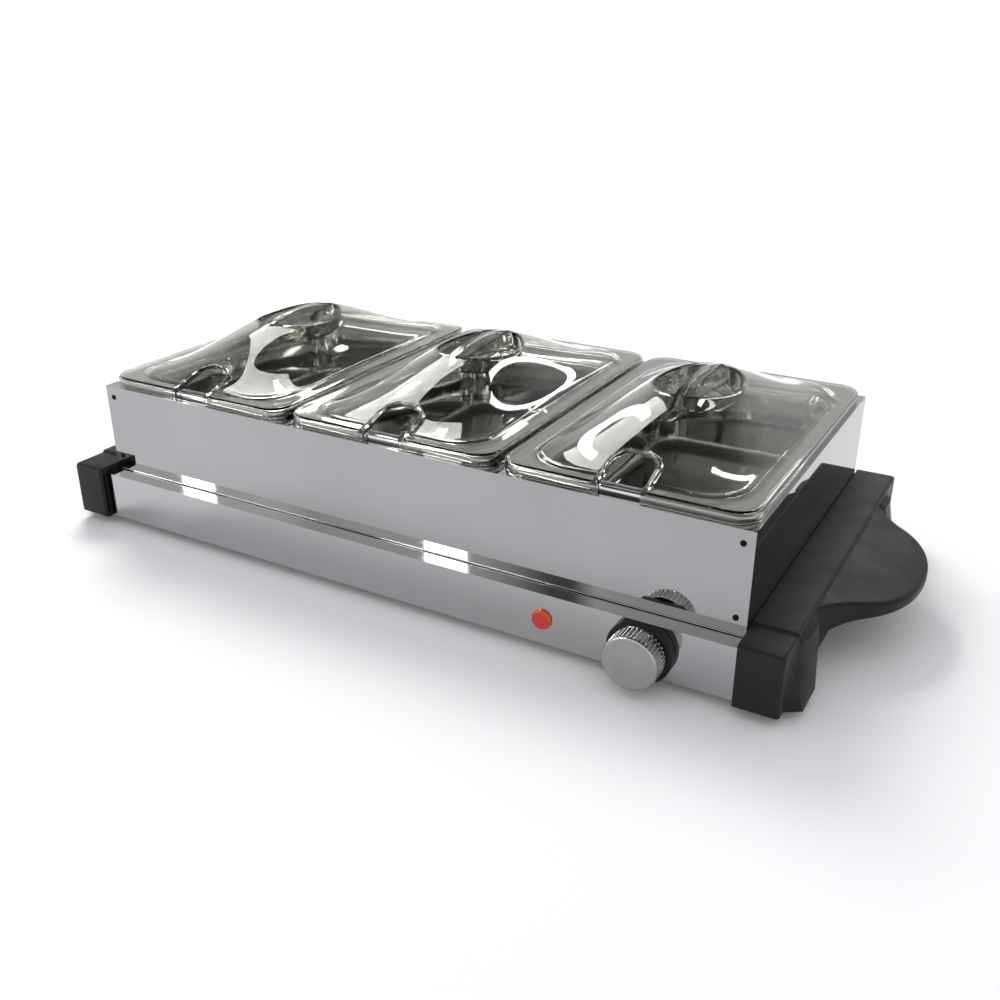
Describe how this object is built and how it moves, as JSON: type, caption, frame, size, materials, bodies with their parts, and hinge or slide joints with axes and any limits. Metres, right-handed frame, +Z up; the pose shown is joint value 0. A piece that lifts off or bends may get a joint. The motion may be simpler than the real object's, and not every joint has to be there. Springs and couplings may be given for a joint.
{
  "type": "electric buffet server",
  "caption": "Electric buffet warmer: low heated base with winged end handles, a sheet-metal pan frame, lidded steel pans and a round control knob.",
  "frame": {"origin": "on the floor below the middle of the whole object", "axes": "+X along the row of pans to the right, +Y to the rear, +Z up; the control panel faces -Y"},
  "size_m": [0.676, 0.312, 0.1559],
  "materials": {
    "polished_steel": "polished stainless sheet",
    "galvanised": "galvanised steel, dull",
    "spreader": "plain aluminium sheet",
    "chrome_trim": "satin chrome on a fluted rim",
    "brass": "plain turned brass",
    "cap_plastic": "satin charcoal moulding",
    "black_plastic": "black moulding",
    "rubber": "black rubber",
    "smoke_plastic": "clear smoke tint, glossy",
    "lamp_red": "translucent red lens",
    "mica": "pressed mica board",
    "ceramic": "unglazed steatite",
    "wire_sleeve": "braided glass-fibre sleeve"
  },
  "bodies": {
    "warming_base": {"base_shell": "polished_steel", "bottom_cover": "galvanised", "heat_spreader": "spreader", "insulation_board": "mica", "heating_element": "galvanised", "stack_bracket_left": "galvanised", "stack_bracket_right": "galvanised", "thermal_cutout": "ceramic", "thermostat": "ceramic", "thermostat_nut": "brass", "knob_bezel": "black_plastic", "indicator_lens": "lamp_red", "indicator_lamp": "black_plastic", "terminal_block": "ceramic", "cord_gland": "rubber", "lead_thermostat_to_element": "wire_sleeve", "lead_supply_to_thermostat": "wire_sleeve", "lead_supply_to_element": "wire_sleeve", "end_cap_left": "cap_plastic", "end_cap_right": "cap_plastic", "foot_left_front": "rubber", "foot_left_rear": "rubber", "foot_right_front": "rubber", "foot_right_rear": "rubber", "cap_screw_left_front": "galvanised", "cap_screw_left_rear": "galvanised", "cap_screw_right_front": "galvanised", "cap_screw_right_rear": "galvanised"},
    "pan_frame": {"frame_front": "polished_steel", "frame_rear": "polished_steel", "frame_side_left": "polished_steel", "frame_side_right": "polished_steel", "crossbar_1": "polished_steel", "crossbar_2": "polished_steel", "rivet_front_left_upper": "black_plastic", "rivet_front_left_lower": "black_plastic", "rivet_front_right_upper": "black_plastic", "rivet_front_right_lower": "black_plastic", "rivet_rear_left_upper": "black_plastic", "rivet_rear_left_lower": "black_plastic", "rivet_rear_right_upper": "black_plastic", "rivet_rear_right_lower": "black_plastic"},
    "left_pan": {"pan_left": "polished_steel"},
    "left_lid": {"lid_left": "smoke_plastic"},
    "middle_pan": {"pan_middle": "polished_steel"},
    "middle_lid": {"lid_middle": "smoke_plastic"},
    "right_pan": {"pan_right": "polished_steel"},
    "right_lid": {"lid_right": "smoke_plastic"},
    "control_knob": {"knob_cap": "chrome_trim", "knob_core": "black_plastic", "thermostat_shaft": "brass"}
  },
  "joints": [
    {"name": "frame_lift", "type": "slide", "parent": "warming_base", "child": "pan_frame", "axis": [0, 0, 1], "range_m": [0, 0.07]},
    {"name": "left_pan_lift", "type": "slide", "parent": "pan_frame", "child": "left_pan", "axis": [0, 0, 1], "range_m": [0, 0.08]},
    {"name": "left_lid_lift", "type": "slide", "parent": "left_pan", "child": "left_lid", "axis": [0, 0, 1], "range_m": [0, 0.06]},
    {"name": "middle_pan_lift", "type": "slide", "parent": "pan_frame", "child": "middle_pan", "axis": [0, 0, 1], "range_m": [0, 0.08]},
    {"name": "middle_lid_lift", "type": "slide", "parent": "middle_pan", "child": "middle_lid", "axis": [0, 0, 1], "range_m": [0, 0.06]},
    {"name": "right_pan_lift", "type": "slide", "parent": "pan_frame", "child": "right_pan", "axis": [0, 0, 1], "range_m": [0, 0.08]},
    {"name": "right_lid_lift", "type": "slide", "parent": "right_pan", "child": "right_lid", "axis": [0, 0, 1], "range_m": [0, 0.06]},
    {"name": "knob_turn", "type": "hinge", "parent": "warming_base", "child": "control_knob", "pos_m": [0.201, -0.14655, 0.02515], "axis": [0, 1, 0], "range_deg": [0, 270]}
  ]
}
